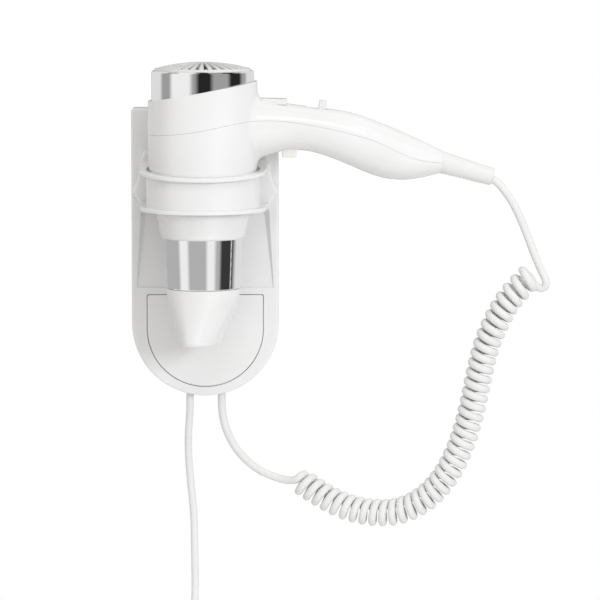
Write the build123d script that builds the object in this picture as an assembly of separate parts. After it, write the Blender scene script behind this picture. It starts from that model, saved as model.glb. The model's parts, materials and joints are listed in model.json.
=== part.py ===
from build123d import *
import math
import os

# Wall-mounted hair dryer, in millimetres. +Z is up, +X is the handle's side and the wall is the plane y = 0,
# with the object on its -Y side. The origin is the centre of the wall base's rear face.

# ---- wall base ----
base_half_width = 49.5
base_top = 97.8
base_arc_z = -47.0
base_corner = 2.0
base_depth = 20.0
base_edge_round = 1.5
base_wall = 2.5
plate_thick = 3.0
fit_gap = 0.3
# How far a cutting solid runs past the surface that it opens.
past = 1.0
bay_margin = 3.2
bay_slant = 3.2
bay_top = 31.0
bay_bottom = -23.3
bay_high_depth = 4.0
bay_low_depth = 0.9
bay_corner = 2.5
# How far the bay's sides draw in for each millimetre of depth.
bay_draft = 0.85
pad_proud = 5.0
pad_edge_inset = 0.6
pad_foot_in = 6.9
pad_round = 2.4
pad_lean = 0.75
pad_wall = 4.0
cover_margin = 10.0
cover_top = -27.4
cover_arc_z = -51.0
cover_corner = 1.5
cover_gap = 0.5
cover_thick = 2.5
cover_bevel = 0.4
ledge_width = 3.0
ledge_thick = 2.0
wall_hole_r = 2.25
wall_hole_dx = 56.0
wall_hole_dz = 110.0
wall_hole_z = 25.0
boss_r = 3.6
boss_side_in = 12.5
boss_top_in = 13.8
boss_low_in = 7.0
boss_low_angle = 48.0
screw_r = 1.4
screw_head_r = 2.8
screw_head = 1.8
screw_gap = 0.1
housing_screw_length = 13.0

# ---- holder ring ----
axis_out = 64.0
barrel_r = 36.2
web_r = barrel_r + 1.3
lip_r = barrel_r + 5.6
lip_root_half = lip_r + 1.5
lip_round = 0.6
upper_lip_top = 59.9
upper_lip_thick = 2.6
upper_lip_slope = 4.9
lower_lip_bottom = 32.5
lower_lip_top = 35.2
ring_clear = 0.4
ring_ease = 1.8
ring_arm_wall = 2.2
ring_root = 8.0
ring_screw_x = 33.0
ring_screw_z = 46.0
ring_screw_length = 9.0

# ---- cord entries ----
entry_x = 10.75
entry_room = base_depth - cover_thick - ledge_thick - plate_thick
entry_y = plate_thick + entry_room / 2
mains_d = 5.0
curly_d = 5.3
coil_outer_d = 18.5
bush_r = 4.2
bush_flange_r = entry_room / 2 - 0.6
bush_flange = 1.6
bush_inset = 1.0
bush_length = 8.0
bush_round = 0.6
bore_gap = 0.1
block_width = 44.0
block_height = 14.0
base_low = base_arc_z - base_half_width
block_low = base_low + 32.5
block_out = base_depth - 6.0
pole_pitch = 11.0
pole_count = 4
pole_r = 2.6
clamp_z = base_low + 19.5
clamp_height = 7.0
clamp_half_width = 21.0
clamp_out = entry_y + 3.5
clamp_split = 0.3
clamp_screw_x = 18.5

# ---- handset barrel, about its own upright axis ----
sleeve_top_r = 25.8
barrel_outline = [
    (barrel_r - 0.3, 124.0), (barrel_r, 98.0), (barrel_r - 0.1, 72.0), (barrel_r - 0.9, 58.0),
    (sleeve_top_r + 7.5, 43.5), (sleeve_top_r + 5.1, 31.0), (sleeve_top_r + 2.6, 18.5),
]
casing_wall = 2.1
cone_bottom = 14.4
cone_round = 2.4
collar_r = sleeve_top_r + 0.3
collar_top = 22.0
rim_z = 111.6
rim_slope = 10.4
parting_gap = 0.12
parting_line = [
    (-48.0, 82.0), (-35.7, 82.8), (-4.6, 86.0), (27.5, 91.8), (46.8, 92.5), (61.3, 91.1), (77.7, 88.3),
    (94.9, 84.5), (114.4, 78.6), (133.8, 69.6), (143.5, 66.3), (155.5, 64.7), (172.0, 63.0),
]

# ---- handle sections: along x, crown height, belly height, half breadth ----
handle_sections = [
    (20.0, 108.2, 63.0, 21.0), (31.0, 107.0, 65.2, 19.3), (42.0, 105.4, 69.0, 17.6),
    (54.0, 103.6, 72.2, 15.8), (68.0, 101.7, 72.2, 15.0), (84.0, 99.8, 67.8, 15.4),
    (99.0, 96.9, 61.6, 16.4), (113.0, 92.1, 56.0, 16.6), (127.0, 86.5, 53.2, 15.8),
    (140.0, 80.7, 53.8, 13.6), (150.0, 75.9, 55.9, 11.2), (157.5, 72.2, 57.9, 9.0),
]
handle_root_round = 7.0
handle_wall = 2.1
crown_pad_x = (38.0, 55.2)
crown_pad_y = 7.0
crown_pad_top = 106.6
crown_pad_slope = 2.0
crown_pad_depth = 3.6
crown_pad_round = 1.2

# ---- intake ----
band_r = barrel_r - casing_wall - 0.3
band_top = 125.0
band_low = 97.0
band_wall = 1.4
band_shoulder = 1.8
band_bead = 1.7
filter_seat_r = band_r - band_wall - 1.0
filter_seat_z = 117.0
filter_seat = 1.5
filter_thick = 1.0
grille_crown = band_top + 5.5
grille_foot = 1.2
grille_skirt = 1.4
grille_skirt_gap = 0.6
grille_thick = 1.8
grille_hub_r = 8.0
grille_edge_r = band_r - band_wall - grille_skirt_gap
grille_open_r = grille_edge_r - grille_skirt
grille_vanes = 32
# The share of the cap's circle that the ribs take up.
grille_rib_share = 0.5

# ---- fan, motor and heater ----
duct_r = band_r - 0.4
duct_wall = 1.4
duct_low = 64.0
duct_neck_z = 50.0
duct_end_z = 44.0
sleeve_wall = 1.2
sleeve_end_r = sleeve_top_r - 1.6
heater_r = sleeve_end_r - sleeve_wall - 0.6
heater_top = 48.0
cup_wall = 1.4
stator_fins = 7
stator_thick = 1.2
stator_height = 20.0
stator_angle = 18.0
stator_z = 80.0
motor_r = 14.0
motor_top = 92.0
motor_low = 66.0
end_cap_low = 62.0
board_r = 12.5
board_thick = 1.6
shaft_r = 1.5
shaft_low = 63.2
shaft_top = 112.0
shaft_gap = 0.05
hub_r = 10.0
hub_low = 98.5
hub_high = 111.0
fan_tip_r = duct_r - duct_wall - 0.8
fan_blades = 9
blade_thick = 1.2
blade_angle = 38.0
blade_chord = 19.0
mica_wall = 0.8
board_mica = 0.8
heater_low = -9.0
heat_rings = 6
heat_ring_tube = 1.0
heat_ring_r = heater_r - 3.0
heat_first_z = -2.0
heat_pitch = 7.0
notch_height = 4.0
guard_y = 8.0
thermostat_thick = 4.0
thermostat_size = 9.0
thermostat_cap = 1.0
thermostat_z = 40.6
fuse_thick = 3.2
fuse_length = 11.0
fuse_z = 39.0

# ---- outlet and nozzle ----
sleeve_shoulder_z = 15.4
sleeve_end_z = -18.5
sleeve_flange_r = collar_r + 0.6
sleeve_flange = 2.0
out_grille_thick = 2.5
out_grille_gap = 0.35
out_grille_rings = 4
out_grille_ring_width = 1.3
out_grille_spokes = 8
nozzle_gap = 0.3
nozzle_wall = 1.6
nozzle_shoulder_z = -22.0
nozzle_turn = 15.0
nozzle_end_z = -56.9
nozzle_lip_round = 4.0
nozzle_rim = 1.2
# Height, lean of the centre, half thickness and half width.
nozzle_sections = [
    (sleeve_end_z - nozzle_gap, 0.0, sleeve_end_r, sleeve_end_r),
    (-30.0, -0.4, 22.4, 23.8), (-42.0, -1.2, 17.4, 23.2), (nozzle_end_z, -2.4, 13.0, 22.0),
]
spigot_high = -14.4
spigot_wall = 1.4
spigot_gap = 0.4

# ---- controls ----
switch_x = 74.5
switch_z = 100.2
switch_tilt = 9.7
knob_rest = 3.96
knob_length = 5.2
knob_width = 8.0
knob_height = 5.4
knob_lift = 0.3
knob_round = 0.7
knob_travel = 7.0
stem_length = 3.2
stem_width = 2.6
stem_depth = 7.4
slot_gap = 0.5
well_depth = 1.4
well_margin = 0.8
well_round = 1.5
switch_body_length = 17.0
switch_body_width = 12.0
switch_body_high = -4.2
switch_body_low = -12.6
button_x = 56.9
button_size = 9.6
button_low = 68.0
button_flange_z = 76.6
button_flange = 1.2
button_flange_size = 12.6
button_gap = 0.35
button_round = 1.0
button_travel = 2.5
micro_low = 82.0
micro_height = 5.4
micro_length = 20.4
micro_width = 7.0
post_thick = 3.0
spring_r = 3.2
spring_wire = 0.8

# ---- handle screws and cord end ----
handle_screw_x = (99.0, 126.0)
handle_boss_r = 3.6
handle_head_up = 6.0
handle_screw_tip = 5.0
screw_clear = 0.5
boot_start = (155.5, 65.0)
boot_end = (191.1, 54.8)
boot_start_r = 7.4
boot_end_r = 5.7
boot_root = 3.0
boot_step = 1.6
boot_collar = 4.0
boot_slot_pitch = 2.4
boot_slot_width = 1.0
boot_slot_depth = 0.6
boot_plain_end = 13.0
boot_tip_round = 1.0
handle_seat_depth = 8.0
inner_lead_length = 56.0
handle_clamp_x = 143.5
handle_clamp_length = 7.0
handle_clamp_width = 16.0
handle_clamp_thick = 3.0
handle_clamp_screw_y = 5.0
handle_clamp_screw = 9.0

# ---- mains lead, its coil and plug ----
mains_route = [
    (-entry_x, -entry_y, base_low - 11.5), (-12.4, -10.3, -129.0), (-10.9, -11.1, -153.0),
    (-8.1, -12.3, -178.0), (-7.8, -13.5, -205.0), (-7.3, -14.6, -234.0),
]
coil_turn_d = 57.0
coil_x = 21.0
coil_z = -286.0
coil_y = -15.0
coil_thick = 15.4
tie_wrap = 2.0
tie_width = 6.0
tail_length = 16.0
plug_width = 35.0
plug_depth = 24.0
plug_length = 38.0
plug_neck = 14.0
plug_neck_r = 5.0
pin_r = 2.4
pin_length = 19.0
pin_pitch = 19.0

# ---- curly cord between base and handset ----
lower_route = [
    (entry_x, -entry_y, base_low - 12.0), (13.8, -11.0, -122.0), (22.0, -13.6, -136.5), (35.5, -17.6, -148.0),
    (51.0, -22.0, -153.2),
]
coil_route = [
    (62.5, -25.4, -152.6), (83.5, -31.3, -166.5), (106.0, -38.0, -173.2), (128.5, -44.6, -172.8),
    (147.5, -50.3, -163.2), (161.8, -54.7, -146.3), (171.6, -57.8, -125.0), (178.3, -59.8, -101.0),
    (182.8, -61.2, -76.5), (188.2, -62.9, -53.5), (198.0, -64.0, -32.5), (215.3, -64.0, -11.8),
]
upper_route = [
    (194.6, -64.0, 53.8), (198.2, -64.0, 50.0), (204.5, -64.0, 38.0), (212.0, -64.0, 20.8),
    (217.4, -64.0, 7.0), (221.1, -64.0, -4.9),
]

at_axis = Pos(0, -axis_out, 0)


def front_face(sketch, depth):
    """A sketch drawn in x and z, placed depth in front of the wall."""
    return Plane.XZ.offset(depth) * sketch


def slab(sketch, near, far):
    """A front-view sketch extruded from near to far, both measured out from the wall."""
    return extrude(front_face(sketch, near), far - near)


def shield(half_width, top, arc_z, corner):
    """Flat top with rounded corners, straight sides and a half-round bottom."""
    outline = Pos(0, (top + arc_z) / 2) * Rectangle(2 * half_width, top - arc_z)
    outline = fillet(outline.vertices().group_by(Axis.Y)[-1], corner)
    upper_half = Pos(0, arc_z + half_width) * Rectangle(3 * half_width, 2 * half_width)
    return outline + (Pos(0, arc_z) * Circle(half_width) - upper_half)


def spin(points):
    """A solid of revolution about Z from a closed outline of (radius, height) points."""
    return revolve(Plane.XZ * make_face(Polyline(*points, close=True)), Axis.Z)


def pipe_z(outer, inner, low, high):
    """An upright tube about Z."""
    return spin([(inner, low), (outer, low), (outer, high), (inner, high)])


def rod(radius, low, high):
    """An upright solid cylinder about Z."""
    return Pos(0, 0, (low + high) / 2) * Cylinder(radius, high - low)


def screw_along(shank, head_r, head, length, shank_gap=0.0):
    """A screw whose head starts at z = 0 and whose shank runs up +Z."""
    return rod(head_r + shank_gap, -head, 0) + rod(shank + shank_gap, 0, length)


def outward(x, y_out, z):
    """Turns a part drawn along +Z to point away from the wall, at x, z and y_out from the wall."""
    return Pos(x, -y_out, z) * Rot(90, 0, 0)


def cord_path(points):
    """Straight runs with tangent arcs as large as the two runs beside each corner allow."""
    spots = [Vector(*p) for p in points]
    radii = []
    for before, corner, after in zip(spots, spots[1:], spots[2:]):
        run_in, run_out = corner - before, after - corner
        half_turn = math.radians(run_in.get_angle(run_out)) / 2
        radii.append(0.45 * min(run_in.length, run_out.length) / math.tan(half_turn))
    return FilletPolyline(*spots, radius=radii), radii


def cord(points, diameter, name):
    """A plain round tube along a route, with its volume set against section times length."""
    path, radii = cord_path(points)
    wire = path.wire()
    tube = sweep(Plane(origin=wire @ 0, z_dir=wire % 0) * Circle(diameter / 2), path=wire)
    expected = math.pi * diameter**2 / 4 * wire.length
    listed = [round(r / diameter, 1) for r in radii]
    ratio = round(tube.volume / expected, 4)
    print(name, "length", round(wire.length, 1), "volume ratio", ratio, "radii/d", listed)
    return tube


# ---- wall base ----
def bay_sketch(grow):
    """The recess behind the handset: its sides draw in a little towards the top."""
    low_half = base_half_width - bay_margin + grow
    high_half = low_half - bay_slant
    low, high = bay_bottom - grow, bay_top + grow
    corners = [(-low_half, low), (low_half, low), (high_half, high), (-high_half, high)]
    outline = make_face(Polyline(*corners, close=True))
    return fillet(outline.vertices().group_by(Axis.Y)[-1], bay_corner)


def bay_room(grow):
    """The recess as a solid: its sides are drafted, and its floor slopes out to the shallow foot."""
    low, high = bay_bottom - grow, bay_top + grow
    floor_low = base_depth - bay_low_depth - grow
    floor_high = base_depth - bay_high_depth - grow
    drawn_in = grow - bay_draft * (base_depth - floor_high)
    front = base_depth + pad_proud + past
    side = Polyline((-floor_low, low), (-floor_high, high), (-front, high), (-front, low), close=True)
    wedge = extrude(Plane.YZ.offset(-base_half_width) * make_face(side), 2 * base_half_width)
    mouth = front_face(bay_sketch(grow), base_depth)
    room = loft([mouth, front_face(bay_sketch(drawn_in), floor_high)], ruled=True)
    return (room + slab(bay_sketch(grow), base_depth, front)) & wedge


def pad_sketch(grow):
    """The raised seat of the ring: widest just over its foot, it draws in by a curve above."""
    half = base_half_width - pad_edge_inset + grow
    foot = half - pad_foot_in
    low = bay_top + 0.6 - grow
    side = [
        (half, 41.0), (half - 1.9, 47.0), (half - 3.9, 53.0), (half - 5.0, 61.0), (half - 8.0, 69.5 + grow),
    ]
    right = Spline(*side, tangents=((0, 1), (-pad_lean, 1)))
    left = Spline(*[(-x, z) for x, z in side], tangents=((0, 1), (pad_lean, 1)))
    edges = [
        Line((-foot, low), (foot, low)), Line((foot, low), side[0]), right,
        Line(side[-1], (-side[-1][0], side[-1][1])), left, Line((-half, side[0][1]), (-foot, low)),
    ]
    return make_face(edges)


def cover_sketch(grow):
    return shield(base_half_width - cover_margin + grow, cover_top + grow, cover_arc_z, cover_corner)


def base_sketch(inset):
    return shield(base_half_width - inset, base_top - inset, base_arc_z, max(base_corner - inset, 1.0))


cover_back = base_depth - cover_thick
bush_end = base_arc_z - math.sqrt(base_half_width**2 - entry_x**2) + bush_inset
boss_low_reach = base_half_width - boss_low_in
boss_rows = (
    (base_half_width - boss_side_in, base_top - boss_top_in),
    (
        boss_low_reach * math.cos(math.radians(boss_low_angle)),
        base_arc_z - boss_low_reach * math.sin(math.radians(boss_low_angle)),
    ),
)
boss_places = [(side * x, z) for x, z in boss_rows for side in (-1, 1)]


def make_front_housing():
    body = slab(base_sketch(0), 0.0, base_depth)
    body = fillet(body.faces().sort_by(Axis.Y)[0].edges(), base_edge_round)
    pad_root = base_depth - base_wall - past
    pad = slab(pad_sketch(0), pad_root, base_depth + pad_proud)
    pad = fillet(pad.faces().sort_by(Axis.Y)[0].edges(), pad_round)
    body += pad
    hollow = slab(base_sketch(base_wall), -past, base_depth - base_wall)
    hollow -= bay_room(base_wall)
    hollow += slab(pad_sketch(-pad_wall), pad_root - past, base_depth + pad_proud - base_wall)
    body -= hollow
    body -= bay_room(0)
    rim = slab(cover_sketch(ledge_width), cover_back - ledge_thick, cover_back + past)
    rim -= slab(cover_sketch(-ledge_width), 0, base_depth)
    body += rim & slab(base_sketch(base_wall / 2), 0, base_depth)
    body -= slab(cover_sketch(0), cover_back, base_depth + past)
    for x, z in boss_places:
        reach = cover_back - plate_thick + (1.0 if z > 0 else -0.2)
        body += outward(x, plate_thick, z) * rod(boss_r, 0, reach)
    for x, z in boss_places:
        body -= outward(x, plate_thick - 0.1, z) * rod(screw_r + screw_gap, 0, housing_screw_length)
    entry = rod(bush_r + shaft_gap, base_low - past, bush_end + bush_length + past)
    screw_hole = rod(screw_r + screw_gap, -base_wall, 2 * pad_proud)
    for side in (-1, 1):
        body -= Pos(side * entry_x, -entry_y, 0) * entry
        body -= outward(side * ring_screw_x, base_depth, ring_screw_z) * screw_hole
    return body


def make_access_cover():
    cover = slab(cover_sketch(-cover_gap), cover_back, base_depth)
    return chamfer(cover.faces().sort_by(Axis.Y)[0].edges(), cover_bevel)


def make_back_plate():
    plate = slab(base_sketch(base_wall + fit_gap), 0, plate_thick)
    for sx in (-1, 1):
        for sz in (-1, 1):
            spot = outward(sx * wall_hole_dx / 2, 0, wall_hole_z + sz * wall_hole_dz / 2)
            plate -= spot * rod(wall_hole_r, -1, plate_thick + 1)
    for x, z in boss_places:
        plate -= outward(x, screw_head, z) * screw_along(screw_r, screw_head_r, screw_head + 1, 9, screw_gap)
    saddle_out = entry_y - clamp_split / 2
    saddle = Box(2 * clamp_half_width, saddle_out - plate_thick, clamp_height)
    plate += Pos(0, -(saddle_out + plate_thick) / 2, clamp_z) * saddle
    for sx, d in ((-1, mains_d), (1, curly_d)):
        plate -= Pos(sx * entry_x, -entry_y, 0) * rod(d / 2 + bore_gap, base_low, block_low)
        spot = outward(sx * clamp_screw_x, plate_thick + 0.5, clamp_z)
        plate -= spot * rod(screw_r + screw_gap, 0, 9)
    return plate


def make_clamp_bar():
    bar = Box(2 * clamp_half_width, clamp_out - entry_y - clamp_split / 2, clamp_height)
    bar = Pos(0, -(entry_y + clamp_split / 2 + clamp_out) / 2, clamp_z) * bar
    bar = fillet(bar.edges().filter_by(Axis.Z), 1.0)
    for sx, d in ((-1, mains_d), (1, curly_d)):
        bar -= Pos(sx * entry_x, -entry_y, 0) * rod(d / 2 + bore_gap, base_low, block_low)
        bar -= outward(sx * clamp_screw_x, 3, clamp_z) * rod(screw_r + screw_gap, 0, 20)
    return bar


def make_bushing(sx, d):
    """A grommet in the base's wall, with its flange inside."""
    wall_inside = base_arc_z - math.sqrt((base_half_width - base_wall) ** 2 - (entry_x + bush_flange_r) ** 2)
    flange_low = wall_inside + 2 * bore_gap
    bush = rod(bush_r, bush_end, bush_end + bush_length)
    bush += rod(bush_flange_r, flange_low, flange_low + bush_flange)
    bush = fillet(bush.faces().sort_by(Axis.Z)[0].edges(), bush_round)
    bush -= rod(d / 2 + bore_gap, bush_end - past, block_low)
    return Pos(sx * entry_x, -entry_y, 0) * bush


def make_terminal_block():
    block = Box(block_width, block_out - plate_thick, block_height)
    block = Pos(0, -(block_out + plate_thick) / 2, block_low + block_height / 2) * block
    for spot in pole_spots():
        block -= spot * rod(pole_r, block_out - 5.0, block_out + 1)
    return block


def pole_spots():
    first = -(pole_count - 1) / 2 * pole_pitch
    return [outward(first + i * pole_pitch, 0, block_low + block_height / 2) for i in range(pole_count)]


def make_terminal_screws():
    pin = rod(pole_r - 0.2, block_out - 5.0, block_out - 2.0)
    pin -= Pos(0, 0, block_out - 2.0) * Box(0.8, 2 * pole_r, 1.2)
    return Compound(children=[spot * pin for spot in pole_spots()])


# ---- holder ring ----
def barrel_spin(grow, low, high):
    """The barrel's outer form, grown and cut between two heights, with its seam away from the handle."""
    side = Spline(*[(r + grow, z) for r, z in barrel_outline])
    top_r, top_z = barrel_outline[0]
    low_r, low_z = barrel_outline[-1]
    edges = [
        side, Line((low_r + grow, low_z), (0, low_z)), Line((0, low_z), (0, top_z)),
        Line((0, top_z), (top_r + grow, top_z)),
    ]
    form = Rot(0, 0, 180) * revolve(Plane.XZ * make_face(edges), Axis.Z)
    return form & rod(2 * barrel_r, low, high)


ring_reach = axis_out - base_depth - pad_proud


def u_sketch(radius, root_half):
    """Half-round front and arms back to the base, seen from above, about the barrel's axis."""
    corners = [(-radius, 0), (radius, 0), (root_half, ring_reach), (-root_half, ring_reach)]
    outline = Circle(radius) + make_face(Polyline(*corners, close=True))
    return outline - Pos(0, ring_reach + radius) * Rectangle(3 * radius, 2 * radius)


def upright(sketch, low, high):
    """A plan sketch stretched from one height to another."""
    return extrude(Pos(0, 0, low) * sketch, high - low)


def softened(lip):
    """A lip with its long outer edges rounded, from one end of the arms round the front to the other."""
    level = [edge for edge in lip.edges() if edge.center().Y < ring_reach - past and edge.length > lip_r / 2]
    return fillet(level, lip_round)


def make_holder_ring():
    """A band with a lip at each edge. Inside, its arms run straight back to a solid root."""
    ceiling = upper_lip_top + lip_r
    wide = 4 * lip_r
    lip_place = Pos(0, 0, upper_lip_top - upper_lip_thick / 2) * Rot(upper_lip_slope, 0, 0)
    lip_plan = u_sketch(lip_r, lip_root_half)
    upper = upright(lip_plan, lower_lip_top, ceiling) & (lip_place * Box(wide, wide, upper_lip_thick))
    under = lip_place * Pos(0, 0, -lip_r) * Box(wide, wide, 2 * lip_r)
    web = upright(u_sketch(web_r, web_r), lower_lip_bottom, ceiling) & under
    lower = upright(lip_plan, lower_lip_bottom, lower_lip_top)
    ring = web + softened(upper) + softened(lower)
    ring -= barrel_spin(ring_clear, lower_lip_bottom - 5, ceiling)
    rebate = barrel_spin(ring_clear + ring_ease, upper_lip_top - upper_lip_thick, ceiling)
    ring -= Pos(0, ring_ease, 0) * rebate
    arm_room = ring_reach - ring_root
    ring -= Pos(0, arm_room / 2, upper_lip_top) * Box(2 * (web_r - ring_arm_wall), arm_room, 4 * lip_r)
    ring = at_axis * ring
    for sx in (-1, 1):
        ring -= outward(sx * ring_screw_x, base_depth, ring_screw_z) * rod(screw_r + screw_gap, 0, 14)
    return ring


# ---- handset casing ----
def handle_loft(inset):
    sections = []
    for x, top, belly, half in handle_sections:
        plane = Plane(origin=(x, 0, (top + belly) / 2), x_dir=(0, 1, 0), z_dir=(1, 0, 0))
        sections.append(plane * Ellipse(half - inset, (top - belly) / 2 - inset))
    return loft(sections)


def below_parting(shift):
    """All space below the parting surface, which is a curve in x and z carried straight through in y."""
    curve = Spline(*[(x, z + shift) for x, z in parting_line])
    (x0, z0), (x1, z1) = parting_line[0], parting_line[-1]
    floor = sleeve_end_z
    edges = [curve, Line((x1, z1 + shift), (x1, floor)), Line((x1, floor), (x0, floor))]
    edges.append(Line((x0, floor), (x0, z0 + shift)))
    return Pos(0, 2 * barrel_r, 0) * extrude(Plane.XZ * make_face(edges), 4 * barrel_r)


def switch_place():
    return Pos(switch_x, 0, switch_z) * Rot(0, switch_tilt, 0)


def crown_pad():
    """The low block on the crown beside the barrel."""
    start, end = crown_pad_x
    pad = Box(end - start, 2 * crown_pad_y, crown_pad_depth)
    pad = fillet(pad.edges().filter_by(Axis.Z), crown_pad_round)
    pad = fillet(pad.faces().sort_by(Axis.Z)[-1].edges(), crown_pad_round / 2)
    return Pos((start + end) / 2, 0, crown_pad_top - crown_pad_depth / 2) * Rot(0, crown_pad_slope, 0) * pad


def make_casing():
    """Barrel and handle in one hollow form, before it is parted."""
    body = barrel_spin(0, cone_bottom, band_top) + handle_loft(0)
    spans = [(edge, edge.bounding_box()) for edge in body.edges() if edge.length > handle_root_round]
    root = [edge for edge, span in spans if span.min.X > 0.4 * barrel_r and span.max.X < 1.2 * barrel_r]
    body = fillet(root, handle_root_round)
    low_r, low_z = barrel_outline[-1]
    tip = spin([(0, low_z), (low_r, low_z), (low_r - 0.8, cone_bottom), (0, cone_bottom)])
    tip = fillet(tip.faces().sort_by(Axis.Z)[0].edges(), cone_round)
    body += tip
    body += crown_pad()
    hollow = barrel_spin(-casing_wall, collar_top, band_top)
    hollow += rod(collar_r, cone_bottom - 1, collar_top + 1)
    hollow += handle_loft(handle_wall)
    body -= hollow
    columns = [Pos(x, 0, 0) * rod(handle_boss_r, 0, band_top) for x in handle_screw_x]
    post = Pos(0, 0, micro_low / 2) * Box(post_thick, micro_width, micro_low)
    columns += [Pos(button_x + side * (micro_length - post_thick) / 2, 0, 0) * post for side in (-1, 1)]
    for column in columns:
        body += column & handle_loft(handle_wall / 2)
    above = Pos(0, 0, 2 * barrel_r) * Box(8 * barrel_r, 4 * barrel_r, 4 * barrel_r)
    return body - Pos(0, 0, rim_z) * Rot(0, -rim_slope, 0) * above


def split_casing(body):
    """Cuts the casing along the parting surface and opens the switch slot and the button's hole."""
    low = body & below_parting(0)
    high = body - below_parting(parting_gap)
    travel_mid = knob_rest - knob_travel / 2
    well_length = knob_length + knob_travel + 2 * well_margin
    well = Box(well_length, knob_width + 2 * well_margin, 2 * stem_depth)
    well = Pos(travel_mid, 0, stem_depth - well_depth) * fillet(well.edges().filter_by(Axis.Z), well_round)
    slot_length = knob_travel + stem_length + 2 * slot_gap
    slot = Pos(travel_mid, 0, 0) * Box(slot_length, stem_width + 2 * slot_gap, 2 * stem_depth)
    high -= switch_place() * well
    high -= switch_place() * slot
    opening = button_size + 2 * button_gap
    low -= Pos(button_x, 0, button_low) * Box(opening, opening, 2 * (button_flange_z - button_low))
    for x in handle_screw_x:
        head_z = belly_at(x) + handle_head_up
        low -= Pos(x, 0, 0) * rod(screw_head_r + screw_gap, head_z - 2 * handle_head_up, head_z)
        high -= Pos(x, 0, 0) * rod(screw_r + screw_gap, head_z, screw_tip(x) + screw_clear)
        low -= Pos(x, 0, 0) * rod(screw_r + screw_gap, head_z, crown_at(x))
    low += clamp_saddle()
    bores = boot_place() * rod(boot_start_r + bore_gap, -boot_root - fit_gap, boot_collar)
    bores += boot_place() * rod(boot_start_r - boot_step + bore_gap, -handle_seat_depth, 0)
    low -= boot_place() * rod(curly_d / 2 + bore_gap, -inner_lead_length, 0)
    return high - bores, low - bores


def section_at(x, column):
    """A handle size at x, taken between its two nearest sections."""
    for first, second in zip(handle_sections, handle_sections[1:]):
        if first[0] <= x <= second[0]:
            share = (x - first[0]) / (second[0] - first[0])
            return first[column] + share * (second[column] - first[column])
    return handle_sections[-1][column]


def crown_at(x):
    return section_at(x, 1)


def belly_at(x):
    return section_at(x, 2)


def screw_tip(x):
    return crown_at(x) - handle_screw_tip


def boot_place():
    """Turns +Z into the boot's direction, starting where the boot leaves the casing."""
    dx, dz = boot_end[0] - boot_start[0], boot_end[1] - boot_start[1]
    return Pos(boot_start[0], 0, boot_start[1]) * Rot(0, 90 - math.degrees(math.atan2(dz, dx)), 0)


boot_length = math.dist(boot_start, boot_end)


def make_boot():
    """A plain taper with a row of short cuts across its top and across its underside, so that it can flex."""
    outline = [(0, -boot_root), (boot_start_r - boot_step, -boot_root), (boot_start_r - boot_step, 0)]
    outline += [(boot_start_r, 0), (boot_end_r, boot_length), (0, boot_length)]
    boot = spin(outline)
    boot = fillet(boot.faces().sort_by(Axis.Z)[-1].edges(), boot_tip_round)
    slope = (boot_start_r - boot_end_r) / boot_length
    cut = Box(2 * boot_start_r, 2 * boot_start_r, boot_slot_width)
    count = int((boot_length - boot_collar - boot_plain_end) / boot_slot_pitch)
    for i in range(count):
        along = boot_collar + (i + 0.5) * boot_slot_pitch
        reach = boot_start_r - slope * along - boot_slot_depth + boot_start_r
        for side in (-1, 1):
            boot -= Pos(side * reach, 0, along) * cut
    boot -= rod(curly_d / 2 + bore_gap, -boot_root - past, boot_length + past)
    return boot_place() * boot


def make_handset_inner_lead():
    return boot_place() * rod(curly_d / 2, boot_length - inner_lead_length, boot_length)


def clamp_axis_z():
    """The height of the cord's axis where the handle's clamp holds it."""
    slope = (boot_end[1] - boot_start[1]) / (boot_end[0] - boot_start[0])
    return boot_start[1] + (handle_clamp_x - boot_start[0]) * slope


def clamp_saddle():
    """The block under the cord, standing on the belly's inside."""
    low, high = belly_at(handle_clamp_x), clamp_axis_z() - clamp_split / 2
    block = Box(handle_clamp_length, handle_clamp_width, high - low)
    block = Pos(handle_clamp_x, 0, (low + high) / 2) * block & handle_loft(handle_wall / 2)
    for side in (-1, 1):
        spot = Pos(handle_clamp_x, side * handle_clamp_screw_y, 0)
        block -= spot * rod(screw_r + screw_gap, high - handle_clamp_screw, high + 1)
    return block


def make_handle_clamp():
    low = clamp_axis_z() + clamp_split / 2
    bar = Box(handle_clamp_length, handle_clamp_width, handle_clamp_thick)
    bar = Pos(handle_clamp_x, 0, low + handle_clamp_thick / 2) * fillet(bar.edges().filter_by(Axis.Z), 1.0)
    for side in (-1, 1):
        spot = Pos(handle_clamp_x, side * handle_clamp_screw_y, 0)
        bar -= spot * rod(screw_r + screw_gap, low - 1, low + handle_clamp_thick + 1)
    return bar - boot_place() * rod(curly_d / 2 + bore_gap, -inner_lead_length, 0)


def make_handle_clamp_screws():
    top = clamp_axis_z() + clamp_split / 2 + handle_clamp_thick
    screw = Rot(180, 0, 0) * screw_along(screw_r, screw_head_r - 0.2, 1.6, handle_clamp_screw)
    places = [Pos(handle_clamp_x, side * handle_clamp_screw_y, top) for side in (-1, 1)]
    return Compound(children=[place * screw for place in places])


# ---- intake, fan, motor, heater ----
def make_intake_band():
    """A bright tube with a narrow rounded top edge and a step inside that carries the filter."""
    inside = band_r - band_wall
    outline = [(inside, band_low), (band_r, band_low), (band_r, band_top - band_shoulder)]
    outline += [(band_r - 0.15, band_top - 1.0), (band_r - 0.55, band_top - 0.35), (band_r - 1.1, band_top)]
    outline += [(band_r - band_bead, band_top), (band_r - band_bead, band_top - 1.0)]
    outline += [(inside, band_top - 1.6)]
    step = pipe_z(band_r - band_wall / 2, filter_seat_r, filter_seat_z, filter_seat_z + filter_seat)
    return spin(outline) + step


def make_dust_filter():
    low = filter_seat_z + filter_seat
    return rod(band_r - band_wall - 0.2, low, low + filter_thick)


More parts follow.
